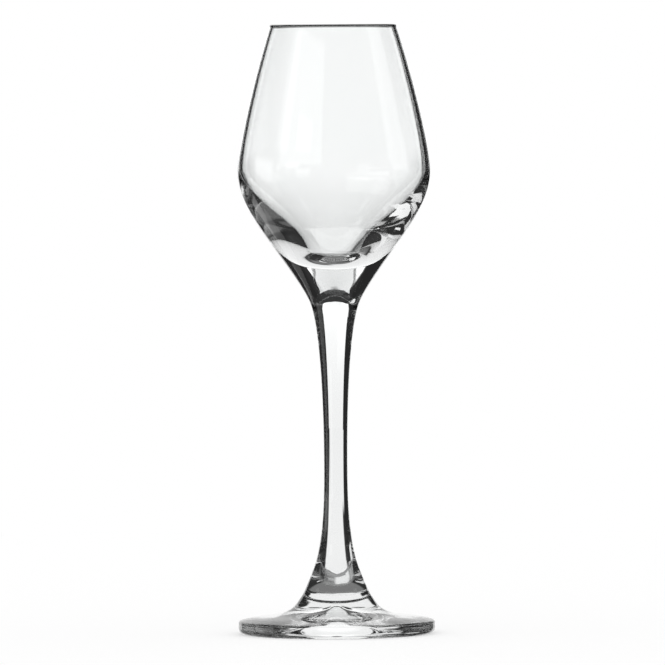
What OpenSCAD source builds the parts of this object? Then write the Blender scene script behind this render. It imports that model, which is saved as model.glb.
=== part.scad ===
// Cordial glass: a thin blown bowl on a solid waisted stem and a pressed round foot.
// The three pieces of clear glass are fused end to end, each on a flat round face.
// The origin is the centre of the resting plane, with +Z up, in millimetres.
// Every outline is drawn as radius against height and turned about the Z axis.
// A lean is a wall's angle from upright, in degrees, positive where it widens downwards.

/* [Bowl] */
// Height of the bowl piece, from its joint with the stem to the rim
bowl_h = 70.4; // [66:0.2:90]
// Outer diameter at the rim
rim_d = 32.4; // [28:0.2:40]
// Thickness of the wall at its fire-polished rim
rim_wall = 1; // [0.8:0.05:2]
// Lean of the wall at the rim
rim_lean = 20; // [12:0.5:24]
// Outer diameter at the widest point
belly_d = 49; // [45:0.5:60]
// Depth of the widest point below the rim
belly_drop = 37; // [32:0.5:40]
// Thickness of the wall at the widest point
belly_wall = 1.15; // [0.8:0.05:2]
// Height of the cavity's widest place above the belly's
cavity_rise = 0.4; // [0:0.1:1.5]
// Diameter of the cavity where it turns in towards its floor
cavity_d = 17.6; // [15:0.2:21]
// Height of that place above the floor of the cavity
cavity_h = 3.4; // [3:0.1:5]
// Lean of the cavity's wall there
cavity_lean = -46; // [-52:0.5:-42]
// Thickness of solid glass between the stem joint and the floor of the cavity
base_wall = 11; // [10:0.2:15]
// Diameter halfway down the cone of glass under the cavity, where it is straightest
cone_d = 28.6; // [26:0.2:31]
// Height of that place above the stem joint
cone_h = 12.2; // [10:0.2:14]
// Lean of the cone there
cone_lean = -36; // [-40:0.5:-32]

/* [Stem] */
// Length of the stem piece, between its two joints
stem_l = 68.3; // [50:0.1:95]
// Diameter at the joint with the bowl
bowl_joint_d = 12.8; // [11:0.1:15]
// Lean of the surface at that joint
bowl_joint_lean = -24; // [-28:0.5:-18]
// Diameter at the waist
waist_d = 5.96; // [4.6:0.02:8]
// Height of the waist above the joint with the foot
waist_h = 26.7; // [20:0.1:32]
// Diameter at the joint with the foot
foot_joint_d = 11.86; // [10:0.02:13]
// Lean of the surface at that joint
foot_joint_lean = 22; // [16:0.5:26]

/* [Foot] */
// Height of the foot piece, from the table to its joint with the stem
foot_h = 16.3; // [15:0.1:20]
// Diameter of the foot
foot_d = 50; // [44:0.5:60]
// Height of the foot's edge
edge_h = 3.5; // [3:0.1:4.5]
// Radius of the edge's upper corner
edge_top_r = 0.7; // [0.4:0.05:1]
// Radius of the edge's lower corner
edge_low_r = 1.5; // [1:0.05:1.8]
// Fall of the foot's upper face at its edge, in degrees below level
edge_fall = 19; // [14:0.5:24]
// Diameter where the pedestal meets the foot's upper face
pedestal_d = 20.6; // [18:0.2:24]
// Height of that place above the table
pedestal_h = 7.6; // [7:0.1:9]
// Lean of the pedestal there
pedestal_lean = 36; // [30:0.5:42]
// Width of the flat ring that the glass stands on
rest_w = 1; // [0.6:0.1:2]
// Rise of the hollow underside above the table, at its centre
hollow_h = 5.2; // [3:0.1:6]

/* [Detail] */
// Straight steps in each curve of an outline
curve_steps = 16; // [8:1:40]
// Straight steps round each corner of an outline
corner_steps = 6; // [3:1:16]
// Facets round the axis in the preview
round_steps = 96; // [24:8:256]

/* [Hidden] */
glass_colour = [0.86, 0.93, 0.94, 0.35];

stem_z = foot_h;
bowl_z = foot_h + stem_l;
rim_z = bowl_z + bowl_h;

// How far a curve's handles reach, as shares of the straight line between its ends.
rim_share = 0.15;
belly_upper_share = 0.2;
belly_lower_share = 0.3;
cone_upper_share = 0.45;
cone_lower_share = 0.6;
bowl_joint_share = 0.15;
waist_upper_share = 0.4;
waist_lower_share = 0.4;
foot_joint_upper_share = 0.25;
foot_joint_lower_share = 0.6;
pedestal_share = 0.4;
fillet_share = 0.3;
edge_share = 0.35;
cavity_belly_share = 0.32;
cavity_upper_share = 0.32;
cavity_lower_share = 0.36;
cavity_floor_share = 0.39;
hollow_rim_share = 0.88;
hollow_centre_share = 0.12;

// A station is a place that an outline passes through: radius, height and lean.
rim_centre = [(rim_d - rim_wall) / 2, rim_z - rim_wall / 2];
rim_outside = station(rim_centre + outward(rim_lean) * rim_wall / 2, rim_lean);
rim_inside = station(rim_centre - outward(rim_lean) * rim_wall / 2, rim_lean);
belly_outside = [belly_d / 2, rim_z - belly_drop, 0];
belly_inside = [belly_d / 2 - belly_wall, rim_z - belly_drop + cavity_rise, 0];
cavity_side = [cavity_d / 2, bowl_z + base_wall + cavity_h, cavity_lean];
cavity_floor = [0, bowl_z + base_wall, -90];
cone = [cone_d / 2, bowl_z + cone_h, cone_lean];
bowl_joint = [bowl_joint_d / 2, bowl_z, bowl_joint_lean];
waist = [waist_d / 2, stem_z + waist_h, 0];
foot_joint = [foot_joint_d / 2, stem_z, foot_joint_lean];
pedestal = [pedestal_d / 2, pedestal_h, pedestal_lean];
edge_top_centre = [foot_d / 2 - edge_top_r, edge_h - edge_top_r];
edge_low_centre = [foot_d / 2 - edge_low_r, edge_low_r];
edge_top = station(edge_top_centre + outward(90 - edge_fall) * edge_top_r, 90 - edge_fall);
hollow_rim = [edge_low_centre[0] - rest_w, 0, -90];
hollow_centre = [0, hollow_h, -90];

// A station at a point of radius and height, with the lean of the surface there.
function station(point, lean) = [point[0], point[1], lean];
// The point of a station.
function point(station) = [station[0], station[1]];
// One unit down along a surface of this lean, and one unit square to it, away from the axis.
function down(lean) = [sin(lean), -cos(lean)];
function outward(lean) = [cos(lean), sin(lean)];

// A cubic curve's point at t, from 0 to 1.
function cubic(a, b, c, d, t) =
    a * pow(1 - t, 3) + b * 3 * t * pow(1 - t, 2) + c * 3 * t * t * (1 - t) + d * pow(t, 3);

// The curve from one station to the next, leaving and arriving along their leans.
// It leaves out its last point, which the next curve or point gives.
function curve(from, to, from_share, to_share) =
    let(
        a = point(from),
        d = point(to),
        reach = norm(d - a),
        b = a + down(from[2]) * reach * from_share,
        c = d - down(to[2]) * reach * to_share
    )
    [for (i = [0 : curve_steps - 1]) cubic(a, b, c, d, i / curve_steps)];

// A corner's arc about a centre, from one angle to another, both ends included.
function corner(centre, radius, from, to) =
    [for (i = [0 : corner_steps])
        let(angle = from + (to - from) * i / corner_steps)
        centre + radius * [cos(angle), sin(angle)]];

// Turns an outline about the Z axis as clear glass.
module turned(outline) {
    color(glass_colour)
        rotate_extrude($fn = round_steps)
            polygon(outline);
}

// Thin blown bowl with a rounded rim and a solid cone of glass below its cavity.
module bowl() {
    turned(concat(
        cavity_wall(),
        reversed(rim_corner()),
        outer_wall(),
        [[0, bowl_z]]
    ));
}

// The cavity from its floor up to the rim.
function cavity_wall() = reversed(concat(
    curve(rim_inside, belly_inside, rim_share, belly_upper_share),
    curve(belly_inside, cavity_side, cavity_belly_share, cavity_upper_share),
    curve(cavity_side, cavity_floor, cavity_lower_share, cavity_floor_share),
    [point(cavity_floor)]
));

// The rounded rim between the two walls, without its ends, which the walls have.
function rim_corner() =
    let(round = corner(rim_centre, rim_wall / 2, rim_lean, rim_lean + 180))
    [for (i = [1 : corner_steps - 1]) round[i]];

// The outside of the bowl from the rim down to the joint with the stem.
function outer_wall() = concat(
    curve(rim_outside, belly_outside, rim_share, belly_upper_share),
    curve(belly_outside, cone, belly_lower_share, cone_upper_share),
    curve(cone, bowl_joint, cone_lower_share, bowl_joint_share),
    [point(bowl_joint)]
);

// Solid stem that widens into both of its joints.
module stem() {
    turned(concat(
        [[0, bowl_z]],
        curve(bowl_joint, waist, bowl_joint_share, waist_upper_share),
        curve(waist, foot_joint, waist_lower_share, foot_joint_upper_share),
        [point(foot_joint), [0, stem_z]]
    ));
}

// Round foot with a pedestal, a rounded edge and a hollow underside.
module foot() {
    turned(concat(
        [[0, stem_z]],
        curve(foot_joint, pedestal, foot_joint_lower_share, pedestal_share),
        curve(pedestal, edge_top, fillet_share, edge_share),
        corner(edge_top_centre, edge_top_r, 90 - edge_fall, 0),
        corner(edge_low_centre, edge_low_r, 0, -90),
        curve(hollow_rim, hollow_centre, hollow_rim_share, hollow_centre_share),
        [point(hollow_centre)]
    ));
}

// A list from its last entry to its first.
function reversed(list) = [for (i = [len(list) - 1 : -1 : 0]) list[i]];

bowl();
stem();
foot();
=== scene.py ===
"""A cordial glass of clear glass, photographed on white against a bright plain backdrop."""

import math
from collections import namedtuple

import bmesh
import bpy
from mathutils import Matrix, Vector


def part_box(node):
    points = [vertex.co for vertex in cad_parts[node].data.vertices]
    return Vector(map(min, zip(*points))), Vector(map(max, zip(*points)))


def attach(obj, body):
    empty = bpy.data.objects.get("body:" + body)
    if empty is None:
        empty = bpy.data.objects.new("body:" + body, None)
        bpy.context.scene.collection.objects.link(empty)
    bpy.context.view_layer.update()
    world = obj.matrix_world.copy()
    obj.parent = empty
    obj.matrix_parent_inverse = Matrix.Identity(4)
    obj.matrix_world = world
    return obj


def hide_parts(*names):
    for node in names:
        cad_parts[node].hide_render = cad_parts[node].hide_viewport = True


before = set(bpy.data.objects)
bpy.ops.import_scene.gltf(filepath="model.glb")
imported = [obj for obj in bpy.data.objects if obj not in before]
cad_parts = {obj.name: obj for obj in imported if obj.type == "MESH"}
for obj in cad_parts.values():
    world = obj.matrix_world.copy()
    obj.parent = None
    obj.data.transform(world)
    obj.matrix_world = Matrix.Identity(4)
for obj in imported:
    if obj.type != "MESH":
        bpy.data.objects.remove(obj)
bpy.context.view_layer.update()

MM = 0.001
BODY = "root"

# Angles are in degrees.
LEVEL = 90
HALF_TURN = 180

# The frame's own sizes.
bowl_low, bowl_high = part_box("bowl")
stem_low, stem_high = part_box("stem")
foot_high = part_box("foot")[1]
RIM_Z = bowl_high.z
BOWL_Z = bowl_low.z
STEM_Z = stem_low.z
BELLY_R = bowl_high.x
BOWL_JOINT_R = stem_high.x
FOOT_R = foot_high.x

# Sizes that the frame's boxes don't give. A lean is from upright, and above 0 where the glass widens
# downwards. The edge's fall is from level.
RIM_R = 16.2 * MM
RIM_WALL = 1.0 * MM
RIM_LEAN = 20
BELLY_DROP = 37 * MM
BELLY_WALL = 1.15 * MM
CAVITY_RISE = 0.4 * MM
CAVITY_R = 8.8 * MM
CAVITY_H = 3.4 * MM
CAVITY_LEAN = -46
BASE_WALL = 11 * MM
CONE_R = 14.3 * MM
CONE_H = 12.2 * MM
CONE_LEAN = -36
BOWL_JOINT_LEAN = -24
WAIST_R = 2.98 * MM
WAIST_H = 26.7 * MM
FOOT_JOINT_R = 5.93 * MM
FOOT_JOINT_LEAN = 22
EDGE_H = 3.5 * MM
EDGE_TOP_R = 0.7 * MM
EDGE_LOW_R = 1.5 * MM
EDGE_FALL = 19
PEDESTAL_R = 10.3 * MM
PEDESTAL_H = 7.6 * MM
PEDESTAL_LEAN = 36
REST_W = 1.0 * MM
HOLLOW_H = 5.2 * MM

# How far a curve's handles reach, as shares of the straight line between its ends.
RIM_SHARE = 0.15
BELLY_UPPER_SHARE = 0.2
BELLY_LOWER_SHARE = 0.3
CONE_UPPER_SHARE = 0.45
CONE_LOWER_SHARE = 0.6
BOWL_JOINT_SHARE = 0.15
WAIST_SHARE = 0.4
FOOT_JOINT_UPPER_SHARE = 0.25
FOOT_JOINT_LOWER_SHARE = 0.6
PEDESTAL_SHARE = 0.4
FILLET_SHARE = 0.3
EDGE_SHARE = 0.35
CAVITY_BELLY_SHARE = 0.32
CAVITY_UPPER_SHARE = 0.32
CAVITY_LOWER_SHARE = 0.36
CAVITY_FLOOR_SHARE = 0.39
HOLLOW_RIM_SHARE = 0.88
HOLLOW_CENTRE_SHARE = 0.12

# Straight steps along each curve, round each corner and round the axis, and rings on a flat round face.
CURVE_STEPS = 56
CORNER_STEPS = 14
ROUND_STEPS = 288
DISC_STEPS = 6
# Below this, a number counts as nothing.
TINY = 1e-7


# Outlines
def down(lean):
    """One unit down along a surface of this lean."""
    return Vector((math.sin(math.radians(lean)), -math.cos(math.radians(lean))))


def outward(lean):
    """One unit square to a surface of this lean, away from the axis."""
    return Vector((math.cos(math.radians(lean)), math.sin(math.radians(lean))))


def station(point, lean):
    """A place on an outline: radius, height and lean. The glass lies on the axis side of the lean."""
    return (point[0], point[1], lean)


def curve(start, end, start_share, end_share):
    """The cubic curve between two stations, leaving and arriving along their leans, without its last one."""
    a, d = Vector(start[:2]), Vector(end[:2])
    reach = (d - a).length
    b = a + down(start[2]) * reach * start_share
    c = d - down(end[2]) * reach * end_share
    stations = []
    for i in range(CURVE_STEPS):
        t = i / CURVE_STEPS
        point = a * (1 - t) ** 3 + b * 3 * t * (1 - t) ** 2 + c * 3 * t * t * (1 - t) + d * t ** 3
        way = (b - a) * (1 - t) ** 2 + (c - b) * 2 * t * (1 - t) + (d - c) * t * t
        stations.append(station(point, math.degrees(math.atan2(way[0], -way[1]))))
    return stations


def corner(centre, radius, start, end):
    """An arc about a centre from one angle to another, both ends included."""
    angles = [start + (end - start) * i / CORNER_STEPS for i in range(CORNER_STEPS + 1)]
    return [station(centre + radius * outward(a), a) for a in angles]


def disc(height, radius, outwards):
    """A flat round face, from the axis to its rim or back, without the rim."""
    lean = LEVEL if outwards else -LEVEL
    stations = [(radius * i / DISC_STEPS, height, lean) for i in range(DISC_STEPS)]
    return stations if outwards else stations[::-1]


def inwards(stations):
    """The same line run the other way, with the glass on its other side."""
    return [(r, z, lean + HALF_TURN) for r, z, lean in stations[::-1]]


rim_centre = Vector((RIM_R - RIM_WALL / 2, RIM_Z - RIM_WALL / 2))
rim_outside = station(rim_centre + outward(RIM_LEAN) * RIM_WALL / 2, RIM_LEAN)
rim_inside = station(rim_centre - outward(RIM_LEAN) * RIM_WALL / 2, RIM_LEAN)
belly_outside = (BELLY_R, RIM_Z - BELLY_DROP, 0)
belly_inside = (BELLY_R - BELLY_WALL, RIM_Z - BELLY_DROP + CAVITY_RISE, 0)
cavity_side = (CAVITY_R, BOWL_Z + BASE_WALL + CAVITY_H, CAVITY_LEAN)
cavity_floor = (0, BOWL_Z + BASE_WALL, -LEVEL)
cone = (CONE_R, BOWL_Z + CONE_H, CONE_LEAN)
bowl_joint = (BOWL_JOINT_R, BOWL_Z, BOWL_JOINT_LEAN)
waist = (WAIST_R, STEM_Z + WAIST_H, 0)
foot_joint = (FOOT_JOINT_R, STEM_Z, FOOT_JOINT_LEAN)
pedestal = (PEDESTAL_R, PEDESTAL_H, PEDESTAL_LEAN)
edge_top_centre = Vector((FOOT_R - EDGE_TOP_R, EDGE_H - EDGE_TOP_R))
edge_low_centre = Vector((FOOT_R - EDGE_LOW_R, EDGE_LOW_R))
edge_top = station(edge_top_centre + outward(LEVEL - EDGE_FALL) * EDGE_TOP_R, LEVEL - EDGE_FALL)
hollow_rim = (edge_low_centre[0] - REST_W, 0, -LEVEL)
hollow_centre = (0, HOLLOW_H, -LEVEL)


def bowl_outline():
    """From the floor of the cavity over the rim and down to the joint with the stem."""
    cavity = curve(rim_inside, belly_inside, RIM_SHARE, BELLY_UPPER_SHARE)
    cavity += curve(belly_inside, cavity_side, CAVITY_BELLY_SHARE, CAVITY_UPPER_SHARE)
    cavity += curve(cavity_side, cavity_floor, CAVITY_LOWER_SHARE, CAVITY_FLOOR_SHARE)
    cavity.append(cavity_floor)
    rim = corner(rim_centre, RIM_WALL / 2, RIM_LEAN + HALF_TURN, RIM_LEAN)[1:-1]
    outside = curve(rim_outside, belly_outside, RIM_SHARE, BELLY_UPPER_SHARE)
    outside += curve(belly_outside, cone, BELLY_LOWER_SHARE, CONE_UPPER_SHARE)
    outside += curve(cone, bowl_joint, CONE_LOWER_SHARE, BOWL_JOINT_SHARE)
    outside.append(bowl_joint)
    return inwards(cavity) + rim + outside + disc(BOWL_Z, BOWL_JOINT_R, False)


def stem_outline():
    """From the joint with the bowl down to the joint with the foot."""
    side = curve(bowl_joint, waist, BOWL_JOINT_SHARE, WAIST_SHARE)
    side += curve(waist, foot_joint, WAIST_SHARE, FOOT_JOINT_UPPER_SHARE)
    side.append(foot_joint)
    return disc(BOWL_Z, BOWL_JOINT_R, True) + side + disc(STEM_Z, FOOT_JOINT_R, False)


def foot_outline():
    """From the joint with the stem over the edge to the middle of the hollow underside."""
    side = curve(foot_joint, pedestal, FOOT_JOINT_LOWER_SHARE, PEDESTAL_SHARE)
    side += curve(pedestal, edge_top, FILLET_SHARE, EDGE_SHARE)
    side += corner(edge_top_centre, EDGE_TOP_R, LEVEL - EDGE_FALL, 0)
    side += corner(edge_low_centre, EDGE_LOW_R, 0, -LEVEL)
    side += curve(hollow_rim, hollow_centre, HOLLOW_RIM_SHARE, HOLLOW_CENTRE_SHARE)
    side.append(hollow_centre)
    return disc(STEM_Z, FOOT_JOINT_R, True) + side


# Pieces
def turned(name, outline):
    """A closed mesh with true normals, turned about Z from an outline that starts and ends on the axis."""
    mesh = bmesh.new()
    rings = []
    normals = []
    for radius, height, lean in outline:
        square = outward(lean)
        ring = []
        for i in range(ROUND_STEPS if radius > TINY else 1):
            angle = 2 * math.pi * i / ROUND_STEPS
            turn = Vector((math.cos(angle), math.sin(angle)))
            ring.append(mesh.verts.new((*turn * radius, height)))
            normals.append((*turn * square[0], square[1]))
        rings.append(ring)
    for upper, lower in zip(rings, rings[1:]):
        for i in range(ROUND_STEPS):
            j = (i + 1) % ROUND_STEPS
            places = ((upper, i), (lower, i), (lower, j), (upper, j))
            corners = [ring[k % len(ring)] for ring, k in places]
            kept = [v for k, v in enumerate(corners) if v not in corners[:k]]
            if len(kept) > 2:
                mesh.faces.new(kept)
    bmesh.ops.recalc_face_normals(mesh, faces=mesh.faces)
    for face in mesh.faces:
        face.smooth = True
    data = bpy.data.meshes.new(name)
    mesh.to_mesh(data)
    mesh.free()
    data.normals_split_custom_set_from_vertices(normals)
    piece = bpy.data.objects.new(name, data)
    bpy.context.scene.collection.objects.link(piece)
    return piece


def finish_faces(piece, joint_heights):
    """Glass all over, and the clear joint material on the flat faces at these heights."""
    data = piece.data
    data.materials.append(clear_glass)
    data.materials.append(fused_joint)
    for face in data.polygons:
        heights = [data.vertices[v].co.z for v in face.vertices]
        at_joint = any(max(abs(h - joint) for h in heights) < TINY for joint in joint_heights)
        face.material_index = 1 if at_joint else 0
    return piece


# Shader nodes
class Shading:
    """The shader nodes of a material or of the world, and short ways to add to them."""

    def __init__(self, owner):
        owner.use_nodes = True
        self.nodes = owner.node_tree.nodes
        self.links = owner.node_tree.links

    def put(self, value, socket):
        """Links an output to a socket, or sets a number or colour on it."""
        if isinstance(value, bpy.types.NodeSocket):
            self.links.new(value, socket)
        else:
            socket.default_value = value

    def calc(self, operation, first, second=None):
        """The outcome of one step of arithmetic, by Blender's name for it."""
        node = self.nodes.new("ShaderNodeMath")
        node.operation = operation
        self.put(first, node.inputs[0])
        if second is not None:
            self.put(second, node.inputs[1])
        return node.outputs[0]

    def away(self, value, middle):
        """How far a value is from a middle, on either side."""
        return self.calc("ABSOLUTE", self.calc("SUBTRACT", value, middle))

    def ramp(self, value, low, high):
        """0 below low and 1 above high, with a smooth step between them. low may be above high."""
        node = self.nodes.new("ShaderNodeMapRange")
        node.interpolation_type = "SMOOTHSTEP"
        self.links.new(value, node.inputs["Value"])
        node.inputs["From Min"].default_value = low
        node.inputs["From Max"].default_value = high
        return node.outputs["Result"]

    def parts(self, vector):
        """A vector's X, Y and Z."""
        split = self.nodes.new("ShaderNodeSeparateXYZ")
        self.links.new(vector, split.inputs[0])
        return split.outputs

    def seen_by_glass(self):
        """1 for rays that glass has reflected or let through, and 0 for others."""
        path = self.nodes.new("ShaderNodeLightPath")
        return self.calc("MAXIMUM", path.outputs["Is Glossy Ray"], path.outputs["Is Transmission Ray"])

    def either(self, choice, first, second, output):
        """Gives the output the first shader where the choice is 0, and the second where it is 1."""
        mix = self.nodes.new("ShaderNodeMixShader")
        for socket, source in zip(mix.inputs, (choice, first.outputs[0], second.outputs[0])):
            self.links.new(source, socket)
        self.links.new(mix.outputs[0], output.inputs["Surface"])


def new_material(name):
    """A material with no shader yet, with its shading and its output."""
    material = bpy.data.materials.new(name)
    shading = Shading(material)
    shading.nodes.remove(shading.nodes["Principled BSDF"])
    return material, shading, shading.nodes["Material Output"]


# Glass

# Its small marks. Depths are how far they rise, and sizes how wide they are.
WAVE_SIZE = 11 * MM
WAVE_DEPTH = 0.012 * MM
DRAW_SIZE = 0.9 * MM
DRAW_LENGTH = 30 * MM
DRAW_DEPTH = 0.004 * MM
RIPPLE_SIZE = 1.6 * MM
RIPPLE_DEPTH = 0.02 * MM
RIPPLE_REACH = 9 * MM
CHILL_SIZE = 3.5 * MM
CHILL_DEPTH = 0.01 * MM
CHILL_REACH = 7 * MM
CUP_Z = BOWL_Z + 22 * MM
# Painted shade: the base colour is dark in a thin line along the top of the rim. This stands in for the dark
# edge that the rim shows against the light. Below are the line's width and its colour.
RIM_SHADE_WIDTH = 0.8 * MM
RIM_PAINTED_SHADE = (0.06, 0.06, 0.06, 1)
CLEAR_TINT = (0.988, 0.992, 0.992, 1)
DEEP_TINT = (0.972, 0.984, 0.981, 1)
SCUFF_Z = 0.3 * MM
SCUFF_ROUGHNESS = 0.12
REFRACTIVE_INDEX = 1.5


def marks_node(shading, place, size, length, depth):
    """Random smooth rises of this depth, this wide across the axis and this long along it."""
    stretch = shading.nodes.new("ShaderNodeVectorMath")
    stretch.operation = "MULTIPLY"
    stretch.inputs[1].default_value = (1 / size, 1 / size, 1 / length)
    shading.links.new(place, stretch.inputs[0])
    noise = shading.nodes.new("ShaderNodeTexNoise")
    noise.inputs["Scale"].default_value = 1
    noise.inputs["Detail"].default_value = 1
    shading.links.new(stretch.outputs[0], noise.inputs["Vector"])
    return shading.calc("MULTIPLY", noise.outputs["Fac"], depth)


def near_node(shading, height, middle, reach):
    """1 at a height and 0 past its reach above and below."""
    return shading.ramp(shading.away(height, middle), reach, 0)


def mix_colours(shading, share, first, second):
    """The first colour where the share is 0, and the second where it is 1."""
    mix = shading.nodes.new("ShaderNodeMix")
    mix.data_type = "RGBA"
    shading.links.new(share, mix.inputs["Factor"])
    for name, colour in (("A", first), ("B", second)):
        socket = [i for i in mix.inputs if i.name == name and i.type == "RGBA"][0]
        shading.put(colour, socket)
    return [o for o in mix.outputs if o.type == "RGBA"][0]


def surface_rise(shading, place, height):
    """Faint waves all over, draw lines on the stem, and ripples at the hot joints and in the cup."""
    rise = marks_node(shading, place, WAVE_SIZE, WAVE_SIZE, WAVE_DEPTH)
    lines = marks_node(shading, place, DRAW_SIZE, DRAW_LENGTH, DRAW_DEPTH)
    ripples = marks_node(shading, place, RIPPLE_SIZE, RIPPLE_SIZE, RIPPLE_DEPTH)
    chill = marks_node(shading, place, CHILL_SIZE, CHILL_SIZE, CHILL_DEPTH)
    local_marks = [
        (lines, (STEM_Z + BOWL_Z) / 2, BOWL_Z - STEM_Z),
        (ripples, STEM_Z, RIPPLE_REACH),
        (ripples, BOWL_Z, RIPPLE_REACH),
        (chill, CUP_Z, CHILL_REACH),
    ]
    for marks, middle, reach in local_marks:
        local = shading.calc("MULTIPLY", marks, near_node(shading, height, middle, reach))
        rise = shading.calc("ADD", rise, local)
    return rise


def make_clear_glass():
    """Clear glass with small marks, a slight cloud in its tint, painted shade in a dark line at its rim and a
    scuffed base.
    """
    material = bpy.data.materials.new("clear_glass")
    shading = Shading(material)
    shader = shading.nodes["Principled BSDF"]
    shader.inputs["IOR"].default_value = REFRACTIVE_INDEX
    shader.inputs["Transmission Weight"].default_value = 1
    place = shading.nodes.new("ShaderNodeTexCoord").outputs["Object"]
    height = shading.parts(place)["Z"]
    bump = shading.nodes.new("ShaderNodeBump")
    bump.inputs["Distance"].default_value = 1
    shading.links.new(surface_rise(shading, place, height), bump.inputs["Height"])
    shading.links.new(bump.outputs[0], shader.inputs["Normal"])
    cloud = marks_node(shading, place, WAVE_SIZE, WAVE_SIZE, 1)
    tint = mix_colours(shading, cloud, CLEAR_TINT, DEEP_TINT)
    # Painted shade: the base colour turns dark in a thin line at the top of the rim.
    rim = shading.ramp(height, RIM_Z - RIM_SHADE_WIDTH, RIM_Z - RIM_SHADE_WIDTH / 2)
    shading.links.new(mix_colours(shading, rim, tint, RIM_PAINTED_SHADE), shader.inputs["Base Color"])
    scuffed = shading.ramp(height, SCUFF_Z, 0)
    shading.links.new(shading.calc("MULTIPLY", scuffed, SCUFF_ROUGHNESS), shader.inputs["Roughness"])
    return material


def make_fused_joint():
    """Nothing to see, where two pieces are one glass."""
    material, shading, output = new_material("fused_joint")
    clear = shading.nodes.new("ShaderNodeBsdfTransparent")
    shading.links.new(clear.outputs[0], output.inputs["Surface"])
    return material


clear_glass = make_clear_glass()
fused_joint = make_fused_joint()

pieces = {
    "bowl": finish_faces(turned("bowl_glass", bowl_outline()), [BOWL_Z]),
    "stem": finish_faces(turned("stem_glass", stem_outline()), [BOWL_Z, STEM_Z]),
    "foot": finish_faces(turned("foot_glass", foot_outline()), [STEM_Z]),
}
for node, piece in pieces.items():
    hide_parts(node)
    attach(piece, BODY)


# Studio

# A patch of the studio has the azimuth of its centre and its half width, the elevation of its centre and its
# half height, the width of its soft edge, and its light. Azimuth runs from +X towards +Y, so the photograph
# looks towards 90, with 0 on its right and 180 on its left. Only glass sees the patches.
Patch = namedtuple("Patch", "azimuth half_width elevation half_height soft light")
DARK_PATCHES = [
    # Behind on the right, and behind on the left.
    Patch(45, 15, 5, 60, 4, 0.02),
    Patch(135, 15, 5, 60, 4, 0.02),
]
BRIGHT_PATCHES = [
    # Straight behind, above and below the middle.
    Patch(94, 24, 13.5, 18.5, 3, 0.95),
    Patch(88.5, 22, -17, 13, 3, 0.95),
    # Straight behind, low down.
    Patch(95, 17, -31, 5, 3, 0.92),
    Patch(102, 11, -42, 7, 8, 0.9),
    Patch(83, 8, -36, 3, 3, 0.75),
    # Behind on the left, low down.
    Patch(137, 6, -24, 5, 2, 0.92),
    Patch(135, 14, -38, 8, 2, 0.5),
    # In front on the right, low down.
    Patch(315, 28, -21, 10, 3, 0.9),
    # On the left.
    Patch(174.5, 13.5, -3, 9, 3, 0.95),
    Patch(180, 14, -22, 8, 4, 0.85),
    # Small windows on the left, towards the front.
    Patch(218, 8, 5.5, 2.5, 1, 1.0),
    Patch(232, 8, -4, 5, 1, 1.0),
    Patch(231, 9, 19, 3, 1, 1.0),
    Patch(198.5, 2.5, 2, 2, 0.7, 1.1),
    Patch(201, 7, 22, 7, 3, 0.6),
    # On the right, dim.
    Patch(338, 10, 10, 22, 5, 0.14),
]
# The window overhead: half its width, how far behind the glass its near and far edges lie, and the width of
# its soft edge, as shares of its height above the glass.
OVERHEAD_SIDE_SHARE = 0.62
OVERHEAD_NEAR_SHARE = 0.22
OVERHEAD_FAR_SHARE = 0.76
OVERHEAD_SOFT_SHARE = 0.04
OVERHEAD_LIGHT = 0.95
# The light where there is nothing else.
ROOM_LIGHT = 0.03
# The table's light, the elevation below which it begins, and the width of its soft edge.
TABLE_LIGHT = 0.2
TABLE_TOP = -40
TABLE_SOFT = 8


def patch_node(shading, azimuth, elevation, patch):
    """1 inside a patch of directions and 0 outside it."""
    aside = shading.calc("SUBTRACT", azimuth, patch.azimuth - 3 * HALF_TURN)
    aside = shading.calc("MODULO", aside, 2 * HALF_TURN)
    aside = shading.away(aside, HALF_TURN)
    across = shading.ramp(aside, patch.half_width + patch.soft, patch.half_width)
    raised = shading.away(elevation, patch.elevation)
    along = shading.ramp(raised, patch.half_height + patch.soft, patch.half_height)
    return shading.calc("MULTIPLY", across, along)


def overhead_node(shading, x, y, z):
    """The light of a level window overhead, behind the glass."""
    up = shading.calc("MAXIMUM", z, TINY)
    side = shading.calc("ABSOLUTE", shading.calc("DIVIDE", x, up))
    depth = shading.calc("DIVIDE", y, up)
    lit = shading.ramp(side, OVERHEAD_SIDE_SHARE + OVERHEAD_SOFT_SHARE, OVERHEAD_SIDE_SHARE)
    near = shading.ramp(depth, OVERHEAD_NEAR_SHARE - OVERHEAD_SOFT_SHARE, OVERHEAD_NEAR_SHARE)
    far = shading.ramp(depth, OVERHEAD_FAR_SHARE + OVERHEAD_SOFT_SHARE, OVERHEAD_FAR_SHARE)
    for share in (near, far, OVERHEAD_LIGHT):
        lit = shading.calc("MULTIPLY", lit, share)
    return lit


def studio_light(shading):
    """The studio's light from each direction."""
    x, y, z = shading.parts(shading.nodes.new("ShaderNodeTexCoord").outputs["Generated"])
    azimuth = shading.calc("DEGREES", shading.calc("ARCTAN2", y, x))
    elevation = shading.calc("DEGREES", shading.calc("ARCSINE", z))
    total = ROOM_LIGHT
    for patch in DARK_PATCHES:
        kept = shading.calc("SUBTRACT", 1, patch_node(shading, azimuth, elevation, patch))
        change = shading.calc("MULTIPLY", kept, shading.calc("SUBTRACT", total, patch.light))
        total = shading.calc("ADD", change, patch.light)
    for patch in BRIGHT_PATCHES:
        lit = patch_node(shading, azimuth, elevation, patch)
        total = shading.calc("MAXIMUM", total, shading.calc("MULTIPLY", lit, patch.light))
    total = shading.calc("MAXIMUM", total, overhead_node(shading, x, y, z))
    table = shading.ramp(elevation, TABLE_TOP, TABLE_TOP - TABLE_SOFT)
    return shading.calc("MAXIMUM", total, shading.calc("MULTIPLY", table, TABLE_LIGHT))


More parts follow.
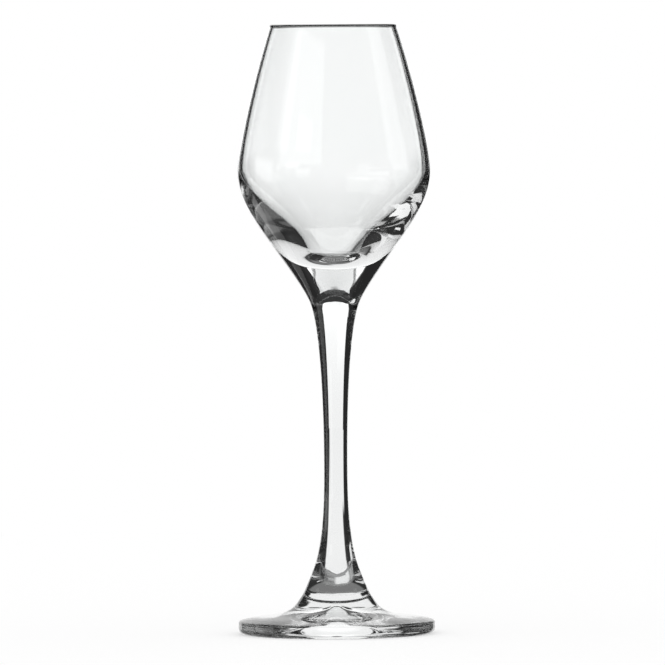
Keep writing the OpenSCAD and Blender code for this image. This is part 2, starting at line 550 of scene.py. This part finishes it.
def make_world():
    """White to the camera and to matt surfaces. Glass sees the studio's white windows and dark cards."""
    world = bpy.data.worlds.new("studio")
    bpy.context.scene.world = world
    shading = Shading(world)
    shading.nodes.clear()
    plain = shading.nodes.new("ShaderNodeBackground")
    plain.inputs["Color"].default_value = (1, 1, 1, 1)
    studio = shading.nodes.new("ShaderNodeBackground")
    studio.inputs["Color"].default_value = (1, 1, 1, 1)
    shading.links.new(studio_light(shading), studio.inputs["Strength"])
    shading.either(shading.seen_by_glass(), plain, studio, shading.nodes.new("ShaderNodeOutputWorld"))


FLOOR_R = 500 * MM
FLOOR_STEPS = 96
FLOOR_COLOUR = (0.5, 0.5, 0.5, 1)
FLOOR_GLOW = 0.5


def make_floor():
    """A white table that takes the glass's shadow. Glass itself looks through it."""
    mesh = bpy.data.meshes.new("floor")
    form = bmesh.new()
    bmesh.ops.create_circle(form, cap_ends=True, radius=FLOOR_R, segments=FLOOR_STEPS)
    form.to_mesh(mesh)
    form.free()
    floor = bpy.data.objects.new("floor", mesh)
    bpy.context.scene.collection.objects.link(floor)
    material, shading, output = new_material("white_table")
    diffuse = shading.nodes.new("ShaderNodeBsdfDiffuse")
    diffuse.inputs["Color"].default_value = FLOOR_COLOUR
    glow = shading.nodes.new("ShaderNodeEmission")
    glow.inputs["Strength"].default_value = FLOOR_GLOW
    both = shading.nodes.new("ShaderNodeAddShader")
    shading.links.new(diffuse.outputs[0], both.inputs[0])
    shading.links.new(glow.outputs[0], both.inputs[1])
    clear = shading.nodes.new("ShaderNodeBsdfTransparent")
    shading.either(shading.seen_by_glass(), both, clear, output)
    mesh.materials.append(material)


# Two black cards that only glass sees, behind the bowl on its right and on its left: how far behind the
# glass's axis, and from where to where across it.
CARD_RIGHT = (85 * MM, (38.7 * MM, 80 * MM))
CARD_LEFT = (92.6 * MM, (-84 * MM, -53 * MM))
CARD_Z = (104 * MM, 190 * MM)
CARD_SHADE = 0.02
# A narrower strip hangs below each card.
STRIP_RIGHT = (85 * MM, (41 * MM, 72 * MM))
STRIP_LEFT = (92.6 * MM, (-60 * MM, -45 * MM))
STRIP_LOW_Z = 50 * MM
# A white panel behind the bowl and the upper stem. It is brighter towards its top, and more so at the top's
# two sides.
PANEL_Y = 120 * MM
PANEL_X = (-58 * MM, 50 * MM)
PANEL_Z = (50 * MM, 165 * MM)
PANEL_FULL_Z = 110 * MM
PANEL_LOW = 0.97
PANEL_HIGH = 1.12
PANEL_SIDE = 0.35
PANEL_SIDE_X = (20 * MM, 42 * MM)
PANEL_SIDE_Z = (112 * MM, 126 * MM)


def glow_material(name):
    """A material that glows, with its shading and its strength, which is still to be set."""
    material, shading, output = new_material(name)
    glow = shading.nodes.new("ShaderNodeEmission")
    shading.links.new(glow.outputs[0], output.inputs["Surface"])
    return material, shading, glow.inputs["Strength"]


def glass_only(name, corners, material):
    """A flat four-cornered card or panel that only the glass sees."""
    mesh = bpy.data.meshes.new(name)
    mesh.from_pydata(corners, [], [(0, 1, 2, 3)])
    mesh.materials.append(material)
    panel = bpy.data.objects.new(name, mesh)
    bpy.context.scene.collection.objects.link(panel)
    panel.visible_camera = False
    panel.visible_diffuse = False
    panel.visible_shadow = False
    panel.visible_volume_scatter = False


def upright(y, x_range, z_range):
    """The corners of an upright panel that faces the glass."""
    (left, right), (low, high) = x_range, z_range
    return [(left, y, low), (right, y, low), (right, y, high), (left, y, high)]


def make_cards():
    """The black cards and the strips below them."""
    card, shading, strength = glow_material("black_card")
    shading.put(CARD_SHADE, strength)
    for name, (y, x_range) in (("card_right", CARD_RIGHT), ("card_left", CARD_LEFT)):
        glass_only(name, upright(y, x_range, CARD_Z), card)
    for name, (y, x_range) in (("strip_right", STRIP_RIGHT), ("strip_left", STRIP_LEFT)):
        glass_only(name, upright(y, x_range, (STRIP_LOW_Z, CARD_Z[0])), card)


def make_panel():
    """The white panel, whose light depends on the place on it."""
    panel, shading, strength = glow_material("white_panel")
    place = shading.parts(shading.nodes.new("ShaderNodeNewGeometry").outputs["Position"])
    raised = shading.ramp(place["Z"], PANEL_Z[0], PANEL_FULL_Z)
    light = shading.calc("ADD", shading.calc("MULTIPLY", raised, PANEL_HIGH - PANEL_LOW), PANEL_LOW)
    aside = shading.ramp(shading.calc("ABSOLUTE", place["X"]), *PANEL_SIDE_X)
    upper = shading.ramp(place["Z"], *PANEL_SIDE_Z)
    more = shading.calc("MULTIPLY", shading.calc("MULTIPLY", aside, upper), PANEL_SIDE)
    shading.put(shading.calc("ADD", light, more), strength)
    glass_only("panel_back", upright(PANEL_Y, PANEL_X, PANEL_Z), panel)


# The photograph's camera: level with the rim, far off behind a long lens. The side, the rim, the base and the
# axis are in the photograph's pixels, and the sensor is in millimetres, as Blender has it.
PHOTO_SIDE = 665
RIM_Y = 24.5
BASE_Y = 634
AXIS_X = 334.9
ROLL = -0.38
CAMERA_DISTANCE = 2480 * MM
CAMERA_CLIP = (100 * MM, 20000 * MM)
SENSOR = 36


def make_camera():
    """A camera that frames the glass as the photograph does."""
    metres_per_pixel = RIM_Z / (BASE_Y - RIM_Y)
    side = PHOTO_SIDE * metres_per_pixel
    middle_z = (BASE_Y - PHOTO_SIDE / 2) * metres_per_pixel
    middle_x = (PHOTO_SIDE / 2 - AXIS_X) * metres_per_pixel
    place = Vector((middle_x, -CAMERA_DISTANCE, RIM_Z))
    aim = Vector((middle_x, 0, middle_z))
    data = bpy.data.cameras.new("camera")
    data.sensor_width = SENSOR
    data.lens = SENSOR / (side / (aim - place).length)
    data.clip_start, data.clip_end = CAMERA_CLIP
    camera = bpy.data.objects.new("camera", data)
    camera.location = place
    turn = (aim - place).to_track_quat("-Z", "Y").to_matrix().to_4x4()
    roll = Matrix.Rotation(math.radians(ROLL), 4, "Z")
    camera.matrix_world = Matrix.Translation(place) @ turn @ roll
    bpy.context.scene.collection.objects.link(camera)
    bpy.context.scene.camera = camera


make_world()
make_floor()
make_cards()
make_panel()
make_camera()

# Light passes many faces of glass before it leaves.
BOUNCES = 32

scene = bpy.context.scene
scene.view_settings.view_transform = "Standard"
scene.cycles.max_bounces = BOUNCES
scene.cycles.transmission_bounces = BOUNCES
scene.cycles.glossy_bounces = BOUNCES
scene.cycles.transparent_max_bounces = BOUNCES
